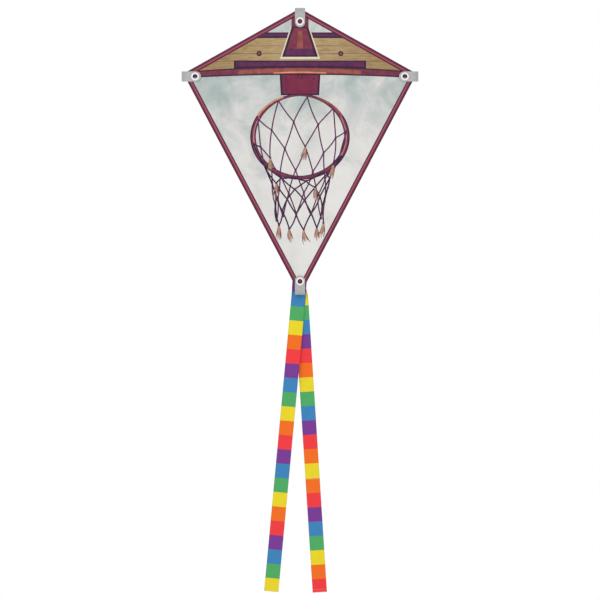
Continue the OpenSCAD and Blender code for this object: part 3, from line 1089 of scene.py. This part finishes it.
def make_tab(which, body):
    """A strip of webbing folded over at its outer end, with rounded inner ends and stitches."""
    turn = TAB_TURNS[which]
    half = TAB_W / 2
    end = 2 * FLAT_RUN + FOLD_RUN
    round_u = half - TAB_TAIL

    def place(u, v, depth):
        x, y, z = tab_place(u, v, depth)
        x, z = turn(x, z)
        return (x, y, z)

    front_end = arc(round_u, 0, half, 90, 270, 6)
    back_end = [(end - u, -v) for u, v in front_end]
    hole = ellipse(0, 0, TAB_HOLE_R, TAB_HOLE_R, count=40)
    piece = plain_sheet(which + "_tab_webbing", front_end + back_end, 2.2, place, LEAF_T, WEBBING,
                        holes=[hole])
    fix_normals(piece)
    round_edges(piece, 0.28, 2, sharper_than_deg=50)

    margin = half - SEAM_MARGIN
    near_fold = [(FLAT_RUN - 1, margin), (FLAT_RUN - 1, -margin)]
    around = [near_fold[0], *arc(round_u, 0, margin, 90, 270, 10), near_fold[1]]
    runs = []
    for line in (around, near_fold[::-1]):
        for y, out in ((LEAF_FRONT, -1), (LEAF_BACK, 1)):
            placed = [turn(u, v) for u, v in line]
            runs.append(stitch_run([(x, y, z) for x, z in placed], (0, out, 0)))
    add_stitches(piece, GREY_THREAD, runs, length=2.2, pitch=3.2, radius=0.25)
    stand_in(piece, "webbing", body, which + "_tab")
    return piece


# ---- Tail ----

LEG_LENGTH = 763.0
LEG_TOP, LEG_TAPER = 5.0, 6.5         # above the rivet, drawn in this much at each side
RIVET_HOLE_R = 2.1
HELD_R, FREE_R = 4, 10                # the rivet holds a leg flat out to here; it is loose from here
GATHER_LENGTH = 42                    # how far down a leg is drawn in
LEG_LEANS = {-1: 5.3, 1: -3.65}       # degrees from hanging straight, left and right
STRIPE_PITCH = 35.2
SPLICE_AT = 484.0
LEG_STRIPES = {
    # each length of ribbon: its top, its second stripe and its end, below the rivet; its colours
    -1: [(-LEG_TOP, 26.3, LEG_LENGTH, ("purple", "blue", "green", "yellow", "orange", "red"))],
    1: [(-LEG_TOP, 24.3, SPLICE_AT, ("orange", "yellow", "green", "blue", "purple", "red")),
        (SPLICE_AT, SPLICE_AT + STRIPE_PITCH, LEG_LENGTH,
         ("orange", "red", "purple", "blue", "green", "yellow"))],
}
RIBBON_T = 0.35
SLAB_T = 0.6         # the CAD ribbon is thicker than the cloth
RIBBON_NAMES = list(RIBBON_COLOURS)
RIBBONS = [ribbon_material(n, RIBBON_COLOURS[n]) for n in RIBBON_NAMES]


def leg_stripes(side):
    """(top, bottom, colour) down a leg, measured from the rivet."""
    found = []
    for top, second, end, colours in LEG_STRIPES[side]:
        k = 0
        while top < end:
            bottom = second + STRIPE_PITCH * k
            if bottom > end - STRIPE_PITCH / 4:
                bottom = end
            found.append((top, bottom, colours[k % len(colours)]))
            top, k = bottom, k + 1
    return found


def leg_wave(side, v, down):
    """How far a leg waves away from the other one, in millimetres."""
    grow = ease((down - 30) / 260)
    wave = 1 - math.cos(down / 62 + (0.6 if side > 0 else 0.0))
    tilt = math.sin(down / 95 + (1.8 if side > 0 else 0.2)) * v / RIBBON_W
    return grow * max(0.0, 1.5 * wave + 2.2 * tilt + 1.1)


def gathered(side, u, down):
    """Across a leg, drawn in at its top: the left leg sits outwards, the right one is pinched."""
    top = 1 - ease(down / GATHER_LENGTH)
    return u - 1.0 * top if side < 0 else u * (1 - 0.34 * top)


def make_leg(side, node, body, hems):
    """A striped ribbon that hangs from the rivet, with its doubled and sewn strips."""
    front = node_box(node)[0][1] + (SLAB_T - RIBBON_T) / 2
    lean = math.radians(LEG_LEANS[side])
    half = RIBBON_W / 2
    outline = [(-half, 0), (-half + LEG_TAPER, LEG_TOP), (half - LEG_TAPER, LEG_TOP), (half, 0),
               (half, -LEG_LENGTH), (-half, -LEG_LENGTH)]
    stripes = leg_stripes(side)
    regions = [rectangle(-half - 1, -bottom, half + 1, -top) for top, bottom, _ in stripes]
    hole = ellipse(0, 0, RIVET_HOLE_R, RIVET_HOLE_R, count=20)

    def place(u, v, depth):
        y = front + depth + side * leg_wave(side, u, -v)
        u += (gathered(side, u, -v) - u) * ease((math.hypot(u, v) - HELD_R) / (FREE_R - HELD_R))
        return (u * math.cos(lean) + v * math.sin(lean), y,
                PIVOT_Z - u * math.sin(lean) + v * math.cos(lean))

    points, triangles, tops = arrange(outline, regions, 4.5, holes=[hole])
    slots = [RIBBON_NAMES.index(stripes[max(0, top - 1)][2]) for top in tops]
    piece = thick_sheet(body + "_leg", points, triangles, slots, place, RIBBON_T, RIBBONS)
    stand_in(piece, "ribbon", body, node)
    strips = [make_strip(hem_node, body, side, place, centre, height, colour)
              for hem_node, centre, height, colour in hems]


STRIP_MARGIN = 1.2   # from a strip's edge to its stitches


def make_strip(node, body, side, place, centre, height, colour):
    """A doubled strip on a leg's outer face, with a row of stitches at each edge."""
    half = RIBBON_W / 2 - 0.3
    outline = rectangle(-half, -centre - height / 2, half, -centre + height / 2)
    outer, shift, inner = ((-RIBBON_T, -RIBBON_T, RIBBON_T) if side < 0
                           else (2 * RIBBON_T, RIBBON_T, 0.0))

    def strip_place(u, v, depth):
        return place(u, v, shift + depth)

    piece = plain_sheet(node + "_cloth", outline, 2.5, strip_place, RIBBON_T,
                        RIBBONS[RIBBON_NAMES.index(colour)])

    def row(v, depth, face):
        def at(s):
            return place(-half + s, v, depth), (0, face, 0)
        return at, 2 * half

    edges = (-centre - height / 2 + STRIP_MARGIN, -centre + height / 2 - STRIP_MARGIN)
    runs = [row(v, outer, side) for v in edges] + [row(v, inner, -side) for v in edges]
    add_stitches(piece, WHITE_THREAD, runs, length=1.9, pitch=2.8, radius=0.2)
    stand_in(piece, "ribbon", body, node)
    return piece


# ---- Back of the kite: sleeves and hardware ----

SLEEVE_T = 0.35
SLEEVE_FLAT_W = 24.0      # the sleeve's cloth laid flat, with its two seam margins
SEAM_RISE = 0.55          # the margins' outer face over the back of the sail
SEAM_X = 5.6              # from the spine to the stitches of each margin


def make_sleeve(node):
    """A sewn channel of cloth over the spine rod, a little creased."""
    low, high = node_box(node)
    rod_low, rod_high = node_box("spine_rod")
    rod_y = (rod_low[1] + rod_high[1]) / 2
    radius = high[1] - rod_y
    flat_y, length = low[1], high[2] - low[2]
    right = [(3.2, flat_y + 1.1), (4.2, flat_y + SEAM_RISE), (7, flat_y + 0.5)]
    outer = [(-x, y) for x, y in right[::-1]] + arc(0, rod_y, radius, 180, 0, -15) + right
    across = lengths_along(outer)
    rows = round(length / 4)
    vertices, uvs = [], []
    for i in range(rows + 1):
        z = low[2] + length * i / rows
        for (x, y), u in zip(outer, across):
            loose = y > flat_y + 0.8
            crease = loose * 0.32 * noise.noise(Vector((x * 0.5, y * 0.5, z * 0.07)))
            vertices.append((x * (1 + crease / radius), y + max(0.0, crease), z))
            uvs.append((u, z))
    faces = grid_faces(rows, len(outer), len(outer) - 1)
    piece = new_object(node + "_cloth", vertices, faces, [SLEEVE_CLOTH])
    set_uv(piece, uvs)
    fix_normals(piece)
    solid = piece.modifiers.new("cloth", "SOLIDIFY")
    solid.thickness, solid.offset = SLEEVE_T * MM, -1
    runs = [stitch_run([(x, flat_y + SEAM_RISE, low[2]), (x, flat_y + SEAM_RISE, high[2])], (0, 1, 0))
            for x in (-SEAM_X, SEAM_X)]
    add_stitches(piece, WHITE_THREAD, runs, radius=0.22)
    stand_in(piece, "sleeve", "root", node)
    mm(SLEEVE_FLAT_W, length)


STRAP_T = 0.35
STRAP_R = 2.28            # of its middle, round the clip's bar
STRAP_NECK = 3.6          # below the bar, where its two layers come together
STRAP_SEAM = 4.3          # below the bar, where they are sewn


def make_loop():
    """A strap up the tab's back, round the clip's bar and down again, sewn below it."""
    low, high = node_box("tail_loop")
    pivot = joint("tail_swing")["pos_m"]
    bar_y, bar_z = pivot[1] / MM, pivot[2] / MM
    half = (high[0] - low[0]) / 2
    inner_y, outer_y = bar_y - STRAP_R, bar_y - STRAP_R + STRAP_T + 0.03
    path = [(inner_y, low[2]), (inner_y, bar_z), *arc(bar_y, bar_z, STRAP_R, 165, -120, -15),
            (outer_y, bar_z - STRAP_NECK), (outer_y, low[2])]
    at, total = walk(path)

    def place(u, v, depth):
        (y, z), (along_y, along_z) = at(v)
        push = depth - STRAP_T / 2
        return (u, y + push * along_z, z - push * along_y)

    piece = plain_sheet("tail_loop_strap", rectangle(-half, 0, half, total), 1.2, place, STRAP_T,
                        WEBBING)
    fix_normals(piece)
    seam_y, seam_z = outer_y + STRAP_T / 2, bar_z - STRAP_SEAM
    run = stitch_run([(-half, seam_y, seam_z), (half, seam_y, seam_z)], (0, 1, 0))
    add_stitches(piece, GREY_THREAD, [run], length=1.6, pitch=2.2, radius=0.15)
    stand_in(piece, "webbing", "root", "tail_loop")


def softened(node, body, material, width=0.35):
    """The CAD solid with rounded edges, standing for its node."""
    mesh = bpy.data.objects[node].data.copy()
    with edited(mesh) as bm:
        bmesh.ops.remove_doubles(bm, verts=bm.verts, dist=1e-6)
        bmesh.ops.dissolve_limit(bm, angle_limit=math.radians(1.0), verts=bm.verts, edges=bm.edges)
    mesh.materials.clear()
    mesh.materials.append(material)
    mesh.polygons.foreach_set("material_index", [0] * len(mesh.polygons))
    mesh.polygons.foreach_set("use_smooth", [True] * len(mesh.polygons))
    piece = in_scene(node + "_moulded", mesh)
    round_edges(piece, width, 3, sharper_than_deg=35).harden_normals = True
    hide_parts(node)
    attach(piece, body)


def dress(node, material):
    """Gives a CAD node that stays as it is its material."""
    piece = bpy.data.objects[node]
    for slot in piece.material_slots:
        slot.material = material
    if not piece.material_slots:
        piece.data.materials.append(material)


# ---- Camera, light and floor ----

FLOOR_HALF = 40000   # wide enough that its edge stays out of sight
FLOOR_GAP = 70       # from the tail's end down to the floor
CAMERA_BACK = 3000
FRAMING = 1.026      # height of the picture as a share of the kite's
FRAMING_RISE = 0.7   # middle of the picture over the middle of the kite


def set_stage():
    """A level view of the printed face, three soft lamps, a pale floor and a white surround."""
    low, high = cad_low / MM, cad_high / MM
    view_mm = (high.z - low.z) * FRAMING
    middle_z = (high.z + low.z) / 2 + FRAMING_RISE
    camera = in_scene("camera", bpy.data.cameras.new("camera"))
    camera.data.type = "ORTHO"
    camera.data.ortho_scale = view_mm * MM
    camera.location = mm(0, -CAMERA_BACK, middle_z)
    camera.rotation_euler = (math.radians(90), 0, 0)
    bpy.context.scene.camera = camera

    corners = [(x, y, 0) for x, y in rectangle(-FLOOR_HALF, -FLOOR_HALF, FLOOR_HALF, FLOOR_HALF)]
    floor = new_object("floor", corners, [[0, 1, 2, 3]], [floor_material()])
    floor.location = mm(0, 0, low.z - FLOOR_GAP)

    # places, aims and sizes in metres, power in watts
    for name, place, aim, size, power in (
        ("key", (-1.6, -2.6, 1.3), (0, 0, -0.4), 1.4, 26),
        ("fill", (2.0, -2.2, 0.2), (0, 0, -0.5), 2.2, 10),
        ("rear", (0.8, 2.6, 0.9), (0, 0, -0.4), 2.0, 22),
    ):
        lamp = in_scene(name, bpy.data.lights.new(name, "AREA"))
        lamp.data.size, lamp.data.energy = size, power
        lamp.location = place
        lamp.rotation_euler = (Vector(aim) - Vector(place)).to_track_quat("-Z", "Y").to_euler()

    world = bpy.data.worlds.new("studio")
    world.use_nodes = True
    bpy.context.scene.world = world
    tree = world.node_tree
    lit = tree.nodes["Background"]
    seen = tree.nodes.new("ShaderNodeBackground")
    for surround, strength in ((lit, 0.72), (seen, 1.0)):
        surround.inputs["Color"].default_value = WHITE
        surround.inputs["Strength"].default_value = strength
    path = tree.nodes.new("ShaderNodeLightPath")
    mix = tree.nodes.new("ShaderNodeMixShader")
    for out, into in zip((path.outputs["Is Camera Ray"], lit.outputs[0], seen.outputs[0]), mix.inputs):
        tree.links.new(out, into)
    tree.links.new(mix.outputs[0], tree.nodes["World Output"].inputs["Surface"])
    bpy.context.scene.view_settings.view_transform = "Standard"


# ---- Build ----

set_stage()

print_shapes = print_regions()
middle_tabs = [make_tab("top", "root"), make_tab("bottom", "root")]
for side, word in ((-1, "left"), (1, "right")):
    sail = make_sail(side, word, print_shapes)
    hems = [make_hem(side, word, upper) for upper in (True, False)]
    declare_sail([*hems, make_tab(word, word + "_wing"), *middle_tabs])

make_leg(-1, "tail_left_ribbon", "tail_left",
         [("tail_left_end_hem", LEG_LENGTH - 4, 8, "yellow")])
make_leg(1, "tail_right_ribbon", "tail_right",
         [("tail_right_end_hem", LEG_LENGTH - 4, 8, "red"), ("tail_right_splice", SPLICE_AT, 6, "orange")])

SLEEVE_CLOTH = plain_cloth_material("sleeve_cloth", linear(216, 217, 214))
for node in ("spine_sleeve_upper", "spine_sleeve_lower"):
    make_sleeve(node)

CAP = moulded_material("cap_rubber", linear(34, 34, 35), 0.6)
FITTING = moulded_material("fitting_plastic", linear(104, 42, 56), 0.42, grain=1500, worn=0.02)
CLIP = moulded_material("clip_plastic", linear(58, 58, 60), 0.45)
EYELET = moulded_material("eyelet_plastic", linear(246, 246, 244), 0.16, coat=0.6, depth=0.01, worn=0.0)
STEEL = steel_material()

dress("spine_rod", rod_material("z"))
CROSS_ROD = rod_material("x")
for node in ("left_spar", "right_spar"):
    dress(node, CROSS_ROD)
for node in ("spine_cap_top", "spine_cap_bottom", "left_spar_cap", "right_spar_cap"):
    dress(node, CAP)
for word in TAB_TURNS:
    dress(word + "_eyelet", EYELET)
    dress(word + "_eyelet_washer", EYELET)
softened("tail_rivet", "tail_hitch", EYELET, width=0.55)
make_loop()
for node in ("hinge_pin_left", "hinge_pin_right"):
    dress(node, STEEL)
softened("center_fitting", "root", FITTING)
softened("left_socket", "left_wing", FITTING)
softened("right_socket", "right_wing", FITTING)
softened("tail_clip", "tail_hitch", CLIP)
